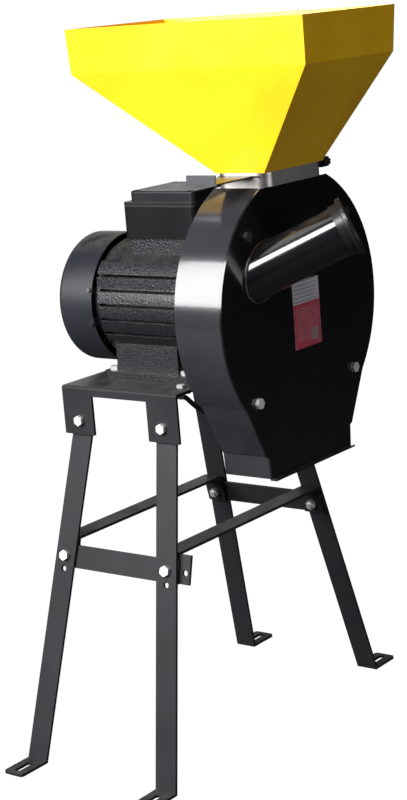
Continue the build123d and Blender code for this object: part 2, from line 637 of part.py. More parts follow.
def housing():
    """Back plate, band and chute, open at the throat and the outlet."""
    depth = MILL_BACK - MILL_FRONT
    top = (CHUTE_TOP_X - 2, CHUTE_TOP_Z)
    outer = prism(outline(BAND_R, MILL_TOP, top, (CHUTE_X, OUTLET_Z), MILL_FRONT, 2), depth)
    t = BAND_T
    inner = prism(outline(BAND_R - t, MILL_TOP - t, (top[0] - t, top[1] + 1), (CHUTE_X - t, OUTLET_Z - 20),
                          MILL_FRONT - 1, 2), depth - BACK_T + 1)
    body = outer - inner
    tx, ty = throat()
    body -= block(tx, ty, (MILL_TOP - 20, MILL_TOP + 5))
    body -= along_y(SHAFT_D / 2 + 6, MILL_BACK - 10, MILL_BACK + 5)
    for x, z in FLANGE_BOLTS:
        body -= along_y(hole(), MILL_BACK - 10, MILL_BACK + 5, x, z)
    return body


def throat():
    """Clear opening of the neck in X and Y."""
    x = NECK_X / 2 - NECK_WALL
    return (-x, x), (MILL_FRONT + 4, MILL_BACK - BACK_T - 1)


def front_cover():
    top = (CHUTE_TOP_X, CHUTE_TOP_Z - 2)
    plate = prism(outline(COVER_R, MILL_TOP, top, (CHUTE_X, OUTLET_Z - 2), COVER_FACE, 2), COVER_T)
    lip_y = (COVER_FACE - COVER_LIP, COVER_FACE + 1)
    plate += block((-CHUTE_X, CHUTE_X), lip_y, (OUTLET_Z - 2, OUTLET_Z + 0.5))
    for x, z in COVER_BOLTS:
        plate -= along_y(hole(), COVER_FACE - 5, COVER_FACE + 8, x, z)
    plate -= tube_solid(TUBE_D / 2 - TUBE_T, -60, 60)
    return plate


def tube_solid(radius, start, end):
    """Cylinder on the feed tube's axis; distances run outwards from the cover face."""
    axis = Vector(*TUBE_DIR).normalized()
    plane = Plane(origin=(TUBE_BASE[0], COVER_FACE, TUBE_BASE[1]), z_dir=axis)
    return plane * Pos(0, 0, (start + end) / 2) * Cylinder(radius, end - start)


def feed_tube():
    """Oblique tube welded to the cover."""
    tube = tube_solid(TUBE_D / 2, -60, TUBE_LENGTH) - tube_solid(TUBE_D / 2 - TUBE_T, -80, TUBE_LENGTH + 20)
    front = block((-400, 400), (COVER_FACE - 400, COVER_FACE), (TUBE_BASE[1] - 300, TUBE_BASE[1] + 300))
    return tube & front


def tube_cap():
    """Push-on cap: a thin skirt over the tube and a wide rounded disc that closes it."""
    seat = TUBE_LENGTH + CAP_SEAT
    skirt = tube_solid(TUBE_D / 2 + CAP_GAP + CAP_WALL, seat - CAP_DEPTH, seat)
    disc = tube_solid(CAP_D / 2, seat - CAP_DISC / 2, seat + CAP_DISC / 2)
    disc = fillet(disc.edges().filter_by(GeomType.CIRCLE), CAP_DISC * 0.3)
    return skirt + disc - tube_solid(TUBE_D / 2 + CAP_GAP, seat - CAP_DEPTH - 5, seat)


def screen():
    """Half-round perforated screen under the rotor."""
    y0, y1 = MILL_FRONT + 2, MILL_BACK - BACK_T - 1
    ring = along_y(SCREEN_R, y0, y1) - along_y(SCREEN_R - SCREEN_T, y0 - 1, y1 + 1)
    reach = SCREEN_R + 50
    ring = ring & block((-reach, reach), (y0 - 5, y1 + 5), (AXIS_Z - reach, AXIS_Z - RAIL_DROP))
    rows = 4
    step = (y1 - y0) / rows
    for k in range(-9, 10):
        for row in range(rows):
            a = math.radians(270 + 7.2 * k)
            y = y0 + step * (row + 0.5)
            pin = Pos((SCREEN_R - 1) * math.cos(a), y, AXIS_Z + (SCREEN_R - 1) * math.sin(a))
            ring -= pin * Rot(0, 90 - math.degrees(a), 0) * Cylinder(3.5, 12)
    return ring


def screen_rails():
    """Angle strips welded inside the band that carry the screen's ends."""
    rails = []
    for s in (-1, 1):
        y0, y1 = MILL_FRONT + 2, MILL_BACK - BACK_T
        x = math.sqrt(SCREEN_R ** 2 - RAIL_DROP ** 2)
        outer = math.sqrt((BAND_R - BAND_T) ** 2 - RAIL_DROP ** 2) - SIDE_GAP
        z0 = AXIS_Z - RAIL_DROP
        rail = block(sorted((s * (x - 4), s * outer)), (y0, y1), (z0, z0 + RAIL_T))
        rails.append(rail)
    return group(rails)


def rotor_plates():
    """Hub with two discs that carry the hammer pins."""
    front, rear = DISC_Y
    hub = along_y(HUB_R, front, MILL_BACK - BACK_T - 6)
    discs = along_y(DISC_R, front, front + DISC_T) + along_y(DISC_R, rear, rear + DISC_T)
    body = hub + discs
    body -= along_y(SHAFT_D / 2, front - 1, MILL_BACK + 10)
    body -= key_block()
    for x, z in PIN_AT:
        body -= along_y(PIN_D / 2, front - 1, rear + DISC_T + 1, x, z)
    return body


def hammer(x, z):
    """Flat bar that hangs straight down from its pin at rest."""
    bar = block((-HAMMER_W / 2, HAMMER_REACH), (HAMMER_Y - HAMMER_T / 2, HAMMER_Y + HAMMER_T / 2),
                (-HAMMER_W / 2, HAMMER_W / 2))
    bar = fillet(bar.edges().filter_by(Axis.Y).group_by(Axis.X)[0], HAMMER_W / 2 - 1)
    bar -= along_y(PIN_D / 2 + RUN_GAP, HAMMER_Y - 20, HAMMER_Y + 20, 0, 0)
    return Pos(x, 0, z) * Rot(0, 90, 0) * bar


def rotor():
    save(rotor_plates(), "rotor_discs")
    save(key_block(), "shaft_key")
    pins = []
    spacers = []
    front = DISC_Y[0] + DISC_T
    half = HAMMER_T / 2 + SIDE_GAP
    for x, z in PIN_AT:
        pins.append(along_y(PIN_D / 2, DISC_Y[0] - 1.5, DISC_Y[1] + DISC_T + 1.5, x, z))
        for y0, y1 in ((front, HAMMER_Y - half), (HAMMER_Y + half, DISC_Y[1])):
            spacers.append(along_y(PIN_D / 2 + 3, y0, y1, x, z) - along_y(PIN_D / 2, y0 - 1, y1 + 1, x, z))
    save(group(pins), "hammer_pins")
    save(group(spacers), "hammer_spacers")
    for k, (x, z) in enumerate(PIN_AT):
        save(hammer(x, z), f"hammer_{k + 1}")
    y = DISC_Y[0]
    washer = along_y(16, y - 3, y) - along_y(BOLT_D / 2, y - 4, y + 1)
    end_bolt = Pos(0, y - 3, AXIS_Z) * Rot(90, 0, 0) * bolt(24)
    save(group([washer, end_bolt]), "hub_bolt")


def mill():
    save(housing(), "mill_housing")
    save(front_cover(), "front_cover")
    save(feed_tube(), "feed_tube")
    save(tube_cap(), "tube_cap")
    save(screen(), "screen")
    save(screen_rails(), "screen_rails")
    rotor()
    posts = []
    bolts = []
    for x, z in COVER_BOLTS:
        posts.append(along_y(POST_R, MILL_FRONT, MILL_BACK - BACK_T, x, z)
                     - along_y(BOLT_D / 2, MILL_FRONT - 1, MILL_FRONT + 20, x, z))
        bolts.append(Pos(x, COVER_FACE, z) * Rot(90, 0, 0) * bolt(20))
    save(group(posts), "cover_posts")
    save(group(bolts), "cover_bolts")
    inner = []
    for x, z in FLANGE_BOLTS:
        inner.append(Pos(x, MILL_BACK - BACK_T, z) * Rot(90, 0, 0) * bolt(14, head=4.5))
    save(group(inner), "flange_bolts")
    x0, x1, z0, z1 = STICKER
    save(block((x0, x1), (COVER_FACE - STICKER_T, COVER_FACE), (z0, z1)), "label")


# ================================================= neck, gate and hopper
def neck():
    z0, z1 = MILL_TOP, MILL_TOP + NECK_H
    x = NECK_X / 2
    body = block((-x, x), NECK_Y, (z0, z1))
    body = fillet(body.edges().filter_by(Axis.Z), NECK_ROUND)
    tx, ty = throat()
    body -= block(tx, ty, (z0 - 1, z1 + 1))
    gz = GATE_Z - GATE_GROOVE / 2
    gy = gate_width()
    body -= block((-x - 1, tx[1] + 1), (gy[0] - 0.3, gy[1] + 0.3), (gz, gz + GATE_GROOVE))
    body -= along_x(LOCK_R, tx[1] + 0.5, x + 5, LOCK_Y, GATE_Z)
    return body


def gate_width():
    ty = throat()[1]
    return ty[0] - 1.6, ty[1] + 1.6


def slide_gate():
    """Flat gate, closed at rest, with a narrow handle bent up at its end."""
    z = (GATE_Z - GATE_T / 2, GATE_Z + GATE_T / 2)
    gate = block((-NECK_X / 2, throat()[0][1]), gate_width(), z)
    end = -NECK_X / 2 - GATE_HANDLE
    gate += block((end, -NECK_X / 2 + 1), GATE_HANDLE_Y, z)
    bent_y = (GATE_HANDLE_Y[0] + 2, GATE_HANDLE_Y[1])
    gate += block((end, end + GATE_T), bent_y, (z[0], z[0] + GATE_HANDLE_UP))
    return gate


def lock_screw():
    """Thumbscrew in the neck's +X wall that clamps the gate's end."""
    x = NECK_X / 2
    screw = along_x(LOCK_R - RUN_GAP, throat()[0][1] + 1.0, x + 16, LOCK_Y, GATE_Z)
    knob = along_x(KNOB_R, x + 16, x + 32, LOCK_Y, GATE_Z)
    for k in range(8):
        a = math.radians(45 * k)
        knob -= along_x(1.2, x + 15, x + 33, LOCK_Y + KNOB_R * math.cos(a), GATE_Z + KNOB_R * math.sin(a))
    return screw + knob


def cord_path(points):
    """Straight runs joined by tangent arcs, each as large as its runs allow."""
    p = [Vector(*q) for q in points]
    radii = []
    for a, b, c in zip(p, p[1:], p[2:]):
        turn = (b - a).get_angle(c - b)
        shorter = min((b - a).length, (c - b).length)
        radii.append(0.45 * shorter / math.tan(math.radians(turn / 2)))
    return FilletPolyline(*p, radius=radii), radii


def cord_tube(points, name):
    path, radii = cord_path(points)
    section = Plane(path @ 0, z_dir=path % 0) * Circle(CORD_D / 2)
    tube = sweep(section, path=path)
    straight = path.length * math.pi * CORD_D ** 2 / 4
    print(name, "length", round(path.length, 1), "tightest", round(min(radii), 1),
          "volume ratio", round(tube.volume / straight, 4))
    print(name, "radii", [round(r) for r in radii])
    save(tube, name)
    return path.length


def coil():
    """Outer shape of the coil, flat on the plate behind the motor, and two ties."""
    x, y = COIL_CENTRE
    half = CORD_D / 2
    z0 = PLATE_TOP + TIE_T + 0.4
    inner, outer = COIL_R[0] - half, COIL_R[1] + half
    height = CORD_D * COIL_LAYERS
    ring = upright(outer, z0, z0 + height, x, y) - upright(inner, z0 - 1, z0 + height + 1, x, y)
    ring = fillet(ring.edges().filter_by(GeomType.CIRCLE), half * 0.9)
    save(ring, "cord_coil")
    ties = []
    for angle in (80, 260):
        band = Box(outer - inner + 2 * TIE_T + 0.6, 7, height + 2 * TIE_T + 0.4)
        band -= Box(outer - inner + 0.6, 9, height + 0.2)
        ties.append(Pos(x, y, z0 + height / 2) * Rot(0, 0, angle) * Pos((inner + outer) / 2, 0, 0) * band)
    save(group(ties), "coil_ties")


def plug():
    """Two-pin earthed plug lying on the plate, straight out of the coil's top turn."""
    body = Pos(0, 11, 0) * Rot(-90, 0, 0) * Cone(5.0, 8.0, 22)
    shell = along_y(PLUG_R, 22, 48, 0, 0)
    body += chamfer(shell.edges().filter_by(GeomType.CIRCLE).sort_by(Axis.Y)[0], 6)
    for s in (-1, 1):
        body += along_y(2.4, 48, 67, s * 9.5, 0)
    body -= along_y(CORD_D / 2, -5, 6, 0, 0)
    a = math.radians(180 - PLUG_TURN)
    x = COIL_CENTRE[0] + COIL_R[1] * math.cos(a) + COIL_EXIT * math.sin(a)
    y = COIL_CENTRE[1] + COIL_R[1] * math.sin(a) - COIL_EXIT * math.cos(a)
    return Pos(x, y, PLATE_TOP + PLUG_R + 0.3) * Rot(0, 0, -PLUG_TURN) * body


def clip():
    """Steel cable clip under the plate, its bolt and the nut below it."""
    bx, by = CLIP_AT
    cx, cy, cz = CLIP_LOOP
    z1 = PLATE_TOP - SHEET
    inner, t = CORD_D / 2 + 2.8, 1.5
    side = cy - inner - t
    loop = along_x(inner + t, cx - 6, cx + 6, cy, cz)
    loop += block((bx - 8, cx + 6), (by - 8, side + t), (z1 - t, z1))
    loop += block((cx - 6, cx + 6), (side, side + t), (cz, z1))
    loop -= along_x(inner, cx - 7, cx + 7, cy, cz)
    loop -= upright(hole(CLIP_BOLT_D), z1 - 5, z1 + 1, bx, by)
    save(loop, "cord_clip")
    screw = Pos(bx, by, PLATE_TOP) * bolt(16, CLIP_BOLT_D, 10, 4)
    low_nut = Pos(bx, by, z1 - t) * Rot(180, 0, 0) * nut(CLIP_BOLT_D, 10, 5)
    save(group([screw, low_nut]), "clip_bolt")


def cord():
    length = cord_tube(CORD_ROUTE, "cord_lead")
    last_turn = (180 + PLUG_TURN) / 360
    wound = 2 * math.pi * (2 * COIL_R[0] + COIL_R[1] * (1 + last_turn))
    print("cord: lead", round(length), "coil", round(wound), "all", round(length + wound))
    coil()
    save(plug(), "plug")
    clip()


def ring_section(half_x, y0, y1, z):
    return Pos(0, (y0 + y1) / 2, z) * Rectangle(2 * half_x, y1 - y0)


def funnel(rings, levels):
    """Solid of flat-sided lofts through rectangles at three levels."""
    low, fold, rim = [ring_section(*ring, z) for ring, z in zip(rings, levels)]
    return loft([low, fold], ruled=True) + loft([fold, rim], ruled=True)


def hopper():
    """Asymmetric four-sided funnel with a nearly upright band at the top."""
    z0 = MILL_TOP + NECK_H
    tx, ty = throat()
    t = HOPPER_T
    low = (NECK_X / 2, NECK_Y[0], NECK_Y[1])
    outer = funnel((low, HOPPER_FOLD, HOPPER_RIM), (z0 + t, HOPPER_FOLD_Z, HOPPER_TOP_Z))
    low_in = (low[0] - t, low[1] + t, low[2] - t)
    fold_in = (HOPPER_FOLD[0] - t, HOPPER_FOLD[1] + t, HOPPER_FOLD[2] - t)
    rim_in = (HOPPER_RIM[0] - t, HOPPER_RIM[1] + t, HOPPER_RIM[2] - t)
    inner = funnel((low_in, fold_in, rim_in), (z0 + t, HOPPER_FOLD_Z, HOPPER_TOP_Z + 0.01))
    shell = outer - inner
    flange = block((-NECK_X / 2, NECK_X / 2), NECK_Y, (z0, z0 + t))
    flange -= block(tx, ty, (z0 - 1, z0 + t + 1))
    shell += flange
    return shell


def top_works():
    save(neck(), "neck")
    save(slide_gate(), "slide_gate")
    save(lock_screw(), "gate_lock_screw")
    save(hopper(), "hopper")


os.makedirs("parts", exist_ok=True)
stand()
motor()
mill()
top_works()
cord()
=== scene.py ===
import json
import math

import bpy
import numpy as np
from mathutils import Matrix, Vector


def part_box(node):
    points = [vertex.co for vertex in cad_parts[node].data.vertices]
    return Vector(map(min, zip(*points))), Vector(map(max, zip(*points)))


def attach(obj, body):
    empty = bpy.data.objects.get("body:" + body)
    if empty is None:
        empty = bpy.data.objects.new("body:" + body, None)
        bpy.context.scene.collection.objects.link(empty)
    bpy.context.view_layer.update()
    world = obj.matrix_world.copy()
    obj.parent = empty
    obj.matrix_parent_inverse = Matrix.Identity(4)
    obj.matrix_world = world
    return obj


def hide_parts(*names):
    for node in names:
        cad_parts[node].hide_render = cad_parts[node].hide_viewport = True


# Hammer mill with a yellow hopper on a four-legged stand.  Metres, +Z up, the
# cover and feed tube face -Y, the motor lies behind the mill towards +Y.

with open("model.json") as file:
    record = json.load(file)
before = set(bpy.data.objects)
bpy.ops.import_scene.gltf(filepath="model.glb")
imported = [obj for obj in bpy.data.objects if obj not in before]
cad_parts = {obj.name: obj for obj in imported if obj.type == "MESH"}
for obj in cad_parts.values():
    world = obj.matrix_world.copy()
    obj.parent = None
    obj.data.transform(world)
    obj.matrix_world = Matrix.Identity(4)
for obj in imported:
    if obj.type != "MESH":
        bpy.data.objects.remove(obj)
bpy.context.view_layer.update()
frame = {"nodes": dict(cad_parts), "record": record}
nodes = frame["nodes"]

# ------------------------------------------------------------------ sizes
CORD_R = 0.0035
COIL_MIDDLE = (0.128, -0.038)
COIL_RADII = (0.0405, 0.0335)      # outer and inner turns
COIL_LEVELS = (0.5251, 0.5321)     # lower and upper layer
COIL_TURNS = 3 + 210 / 360
COIL_STEPS = 20                    # control points in one turn
COIL_STEP_IN = (0.85, 1.1)         # turns over which the cord steps from the outer to the inner ring
COIL_STEP_UP = (1.85, 2.1)         # and from the lower to the upper layer
COIL_STEP_OUT = (2.85, 3.1)        # and back to the outer ring
PLUG_WAY = (0.5, 0.8660254, 0.0)   # direction in which the cord leaves the coil for the plug
PLUG_RUN = (0.010, 0.021)          # half way to the plug, and at it
BEAD_R = 0.0022
BEAD_STEPS = 720
BEAD_SIDES = 14
BEAD_RIPPLES = 90                  # short swells round the bead
BEAD_SWELL = 0.10                  # their height, as a share of the radius
BEAD_WANDER = 0.07                 # height of the slow uneven swells
BEAD_SINK = 0.35                   # how far the bead lies off the corner, in its own radius
TUBE_BASE = (-0.085, -0.213, 0.678)
TUBE_AXIS = (0.528, -0.75, 0.399)
TUBE_R = 0.033
FLOOR_HALF = 14.0


# ================================================================= camera
def add_camera():
    """Viewpoint low on the -X side, in front of the cover."""
    data = bpy.data.cameras.new("camera")
    data.sensor_fit = "VERTICAL"
    data.sensor_height = 36.0
    data.lens = 83.64
    data.shift_x = 0.0111
    data.shift_y = 0.0024
    camera = bpy.data.objects.new("camera", data)
    bpy.context.scene.collection.objects.link(camera)
    right = Vector((0.6015, -0.7949, -0.0798)).normalized()
    forward = Vector((0.7669, 0.6026, -0.2207)).normalized()
    up = right.cross(forward)
    turn = Matrix((right, up, -forward)).transposed().to_4x4()
    camera.matrix_world = Matrix.Translation((-2.0122, -1.5990, 1.0506)) @ turn
    bpy.context.scene.camera = camera


# =================================================================== cord
CORD_ROUTE = [
    (92, -30, 734), (120, -30, 732), (150, -34, 718), (174, -40, 688), (187, -45, 643),
    (190, -48, 592), (187, -48, 542), (174, -40, 500), (142, -24, 478), (98, -8, 474),
    (50, 4, 481), (4, 12, 492), (-36, 17, 500), (-72, 17, 506), (-106, 13, 509.5),
    (-129, -8, 511.5), (-131, -38, 511.5), (-114, -59, 510.5), (-78, -62, 502),
    (-48, -52, 482.5), (-16, -40, 465), (16, -27, 452), (50, -15, 444), (86, -5, 441),
    (120, 6, 445), (149, 16, 460), (168, 18, 485), (173, 4, 508), (169, -17, 524.5),
]


def coil_points():
    """Turns of the coil: outer low, inner low, inner high, then outer high to the plug."""
    turn = np.arange(COIL_STEPS * COIL_TURNS + 1) / COIL_STEPS
    outer, inner = COIL_RADII
    radius = np.interp(turn, [*COIL_STEP_IN, *COIL_STEP_OUT], [outer, inner, inner, outer])
    level = np.interp(turn, COIL_STEP_UP, COIL_LEVELS)
    angle = -2 * math.pi * turn
    x = COIL_MIDDLE[0] + radius * np.cos(angle)
    y = COIL_MIDDLE[1] + radius * np.sin(angle)
    return list(zip(x, y, level))


def add_cord():
    """Mains lead from the strain relief, under the plate, into its coil and plug.  The bevel
    is 1 and each point's radius is the cord's, so that its box is measured right."""
    plug_low, plug_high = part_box("plug")
    points = [(x / 1000, y / 1000, z / 1000) for x, y, z in CORD_ROUTE] + coil_points()
    last = Vector(points[-1])
    rise = Vector((0, 0, (plug_low.z + plug_high.z) / 2 - last.z))
    for run, share in zip(PLUG_RUN, (0.5, 1.0)):
        points.append(tuple(last + Vector(PLUG_WAY) * run + rise * share))
    curve = bpy.data.curves.new("cord", "CURVE")
    curve.dimensions = "3D"
    curve.resolution_u = 6
    curve.render_resolution_u = 6
    curve.bevel_depth = 1.0
    curve.bevel_resolution = 4
    curve.use_fill_caps = True
    spline = curve.splines.new("NURBS")
    spline.points.add(len(points) - 1)
    for point, place in zip(spline.points, points):
        point.co = (*place, 1.0)
        point.radius = CORD_R
    spline.order_u = 3
    spline.use_endpoint_u = True
    cord = bpy.data.objects.new("cord", curve)
    bpy.context.scene.collection.objects.link(cord)
    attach(cord, "machine")
    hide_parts("cord_lead", "cord_coil")
    return cord


# ======================================================= material building
class Shader:
    """A node material with a Principled surface and short calls for its nodes."""

    def __init__(self, name):
        self.material = bpy.data.materials.new(name)
        self.material.use_nodes = True
        self.tree = self.material.node_tree
        self.tree.nodes.clear()
        output = self.tree.nodes.new("ShaderNodeOutputMaterial")
        self.surface = self.tree.nodes.new("ShaderNodeBsdfPrincipled")
        self.link(self.surface.outputs["BSDF"], output.inputs["Surface"])
        self.place = self.tree.nodes.new("ShaderNodeTexCoord").outputs["Object"]

    def link(self, source, target):
        self.tree.links.new(source, target)

    def feed(self, socket, value):
        """Link a socket to another, or set its constant."""
        if isinstance(value, bpy.types.NodeSocket):
            self.link(value, socket)
        elif isinstance(value, tuple) and len(value) == 3 and socket.type == "RGBA":
            socket.default_value = (*value, 1.0)
        else:
            socket.default_value = value

    def set(self, **values):
        names = {"colour": "Base Color", "rough": "Roughness", "metal": "Metallic", "normal": "Normal",
                 "coat": "Coat Weight", "coat_rough": "Coat Roughness", "spec": "Specular IOR Level"}
        for key, value in values.items():
            self.feed(self.surface.inputs[names[key]], value)

    def stretched(self, x, y, z):
        """Object coordinates multiplied along each axis."""
        node = self.tree.nodes.new("ShaderNodeVectorMath")
        node.operation = "MULTIPLY"
        self.link(self.place, node.inputs[0])
        node.inputs[1].default_value = (x, y, z)
        return node.outputs["Vector"]

    def noise(self, scale, detail=4.0, rough=0.5, vector=None, warp=0.0):
        node = self.tree.nodes.new("ShaderNodeTexNoise")
        self.link(vector or self.place, node.inputs["Vector"])
        node.inputs["Scale"].default_value = scale
        node.inputs["Detail"].default_value = detail
        node.inputs["Roughness"].default_value = rough
        node.inputs["Distortion"].default_value = warp
        return node.outputs["Fac"]

    def cells(self, scale):
        """Distance to the nearest of scattered points."""
        node = self.tree.nodes.new("ShaderNodeTexVoronoi")
        node.feature = "F1"
        self.link(self.place, node.inputs["Vector"])
        node.inputs["Scale"].default_value = scale
        return node.outputs["Distance"]

    def range(self, value, low, high, to_low=0.0, to_high=1.0):
        node = self.tree.nodes.new("ShaderNodeMapRange")
        self.feed(node.inputs["Value"], value)
        limits = {"From Min": low, "From Max": high, "To Min": to_low, "To Max": to_high}
        for name, number in limits.items():
            node.inputs[name].default_value = number
        return node.outputs["Result"]

    def math(self, operation, first, second=0.0):
        """One step of arithmetic; ABSOLUTE and FRACT take only the first value."""
        node = self.tree.nodes.new("ShaderNodeMath")
        node.operation = operation
        self.feed(node.inputs[0], first)
        self.feed(node.inputs[1], second)
        return node.outputs["Value"]

    def mix(self, factor, first, second):
        """Colour between first and second; sockets 6 and 7 are the two colours."""
        node = self.tree.nodes.new("ShaderNodeMix")
        node.data_type = "RGBA"
        self.feed(node.inputs["Factor"], factor)
        self.feed(node.inputs[6], first)
        self.feed(node.inputs[7], second)
        return node.outputs[2]

    def bump(self, height, distance, edge=0.0):
        """Bump of a real height; edge is the radius that sharp edges seem rounded to."""
        node = self.tree.nodes.new("ShaderNodeBump")
        node.inputs["Strength"].default_value = 1.0
        node.inputs["Distance"].default_value = distance
        self.feed(node.inputs["Height"], height)
        if edge:
            bevel = self.tree.nodes.new("ShaderNodeBevel")
            bevel.samples = 4
            bevel.inputs["Radius"].default_value = edge
            self.link(bevel.outputs["Normal"], node.inputs["Normal"])
        return node.outputs["Normal"]

    def axis(self, name):
        node = self.tree.nodes.new("ShaderNodeSeparateXYZ")
        self.link(self.place, node.inputs[0])
        return node.outputs[name]

    def slope(self):
        """Upward part of the surface normal, for dust that settles from above."""
        node = self.tree.nodes.new("ShaderNodeNewGeometry")
        split = self.tree.nodes.new("ShaderNodeSeparateXYZ")
        self.link(node.outputs["Normal"], split.inputs[0])
        return split.outputs["Z"]

    def settled(self, start, most, scale):
        """Dust from nothing at slope start to most on level faces, broken up by noise."""
        level = self.range(self.slope(), start, 1.0, 0.0, most)
        return self.math("MULTIPLY", level, self.range(self.noise(scale, 5.0, 0.65), 0.35, 0.7))


MEAL_DUST = (0.32, 0.29, 0.23)
MOTOR_DUST = (0.30, 0.27, 0.21)
PEEL_SCALE = 420.0                 # orange peel and hammer dimples to the metre
METAL_EDGE = 0.0004                # rounding that bare metal edges seem to have


def scaled(colour, factor):
    """The colour made lighter or darker, no part of it over 1."""
    return tuple(min(1.0, c * factor) for c in colour)


def paint(name, colour, rough=0.3, coat=0.0, peel=0.00004, dust=0.25, scratches=0.35, spec=0.5):
    """Powder coat: orange peel, faint clouding, fine scratches, dust on what faces up."""
    s = Shader(name)
    clouds = s.noise(9.0, 3.0)
    tone = s.mix(s.range(clouds, 0.35, 0.65), scaled(colour, 0.9), scaled(colour, 1.1))
    grit = s.noise(900.0, 2.0)
    tone = s.mix(s.range(grit, 0.62, 0.8, 0.0, 0.25), tone, scaled(colour, 1.8))
    streak = s.noise(5.0, 6.0, 0.7, vector=s.stretched(9, 9, 90), warp=0.6)
    scratch = s.range(streak, 0.665, 0.69, 0.0, scratches)
    tone = s.mix(scratch, tone, scaled(colour, 2.2))
    settled = s.settled(0.75, dust, 40.0)
    tone = s.mix(settled, tone, MEAL_DUST)
    gloss = s.range(s.noise(14.0, 4.0), 0.3, 0.7, rough * 0.85, rough * 1.2)
    gloss = s.math("ADD", gloss, s.math("MULTIPLY", settled, 0.5))
    normal = s.bump(s.noise(PEEL_SCALE, 2.0), peel, edge=0.0008)
    s.set(colour=tone, rough=gloss, normal=normal, coat=coat, coat_rough=rough * 0.4, spec=spec)
    return s.material


def hammertone(name, colour):
    """Hammered enamel: shallow round dimples with darker veins between them."""
    s = Shader(name)
    dimples = s.cells(PEEL_SCALE)
    clouds = s.range(s.noise(30.0, 4.0), 0.35, 0.65)
    tone = s.mix(s.range(dimples, 0.15, 0.6), scaled(colour, 1.2), scaled(colour, 0.7))
    tone = s.mix(s.math("MULTIPLY", clouds, 0.15), tone, scaled(colour, 1.4))
    tone = s.mix(s.settled(0.7, 0.25, 50.0), tone, MOTOR_DUST)
    height = s.math("ADD", dimples, s.math("MULTIPLY", s.noise(700.0, 2.0), 0.15))
    normal = s.bump(height, 0.0005, edge=0.0012)
    gloss = s.range(s.noise(480.0, 1.0), 0.35, 0.65, 0.2, 0.5)
    s.set(colour=tone, rough=gloss, normal=normal, coat=0.12, coat_rough=0.15, spec=0.4)
    return s.material


def metal(name, colour, rough=0.3, grain=(30, 30, 30), grain_scale=40.0, dull=0.3, depth=0.00002,
          metallic=1.0):
    """Bare or plated metal with a directional grain and dull blotches."""
    s = Shader(name)
    lines = s.noise(grain_scale, 5.0, 0.6, vector=s.stretched(*grain))
    blotch = s.range(s.noise(60.0, 5.0, 0.6), 0.4, 0.7)
    tone = s.mix(s.math("MULTIPLY", blotch, dull), colour, scaled(colour, 0.55))
    tone = s.mix(s.range(lines, 0.35, 0.65, 0.0, 0.3), tone, scaled(colour, 1.15))
    gloss = s.range(lines, 0.3, 0.7, rough * 0.8, rough * 1.3)
    s.set(colour=tone, metal=metallic, rough=gloss, normal=s.bump(lines, depth, edge=METAL_EDGE))
    return s.material


def moulded(name, colour, rough=0.4, grain=0.00003, scale=1100.0):
    """Moulded plastic or rubber with a fine texture and a trace of handling marks."""
    s = Shader(name)
    marks = s.range(s.noise(25.0, 6.0, 0.6), 0.5, 0.75)
    tone = s.mix(s.math("MULTIPLY", marks, 0.35), colour, scaled(colour, 1.9))
    gloss = s.range(s.noise(70.0, 4.0), 0.3, 0.7, rough * 0.85, rough * 1.2)
    s.set(colour=tone, rough=gloss, normal=s.bump(s.noise(scale, 2.0), grain, edge=0.0005))
    return s.material


def winding(name, colour):
    """Varnished copper wire laid round the stator."""
    s = Shader(name)
    wave = s.tree.nodes.new("ShaderNodeTexWave")
    wave.bands_direction = "Y"
    s.link(s.place, wave.inputs["Vector"])
    wave.inputs["Scale"].default_value = 320.0
    wave.inputs["Distortion"].default_value = 3.0
    tone = s.mix(wave.outputs["Fac"], scaled(colour, 0.5), colour)
    s.set(colour=tone, metal=0.8, rough=0.35, normal=s.bump(wave.outputs["Fac"], 0.0004))
    return s.material


def laminated(name, colour):
    """Thin steel sheets stacked along Y."""
    s = Shader(name)
    sheets = s.noise(1.0, 3.0, 0.6, vector=s.stretched(2, 1400, 2))
    tone = s.mix(s.range(sheets, 0.4, 0.6), scaled(colour, 0.6), colour)
    s.set(colour=tone, metal=0.8, rough=0.4, normal=s.bump(sheets, 0.0001))
    return s.material


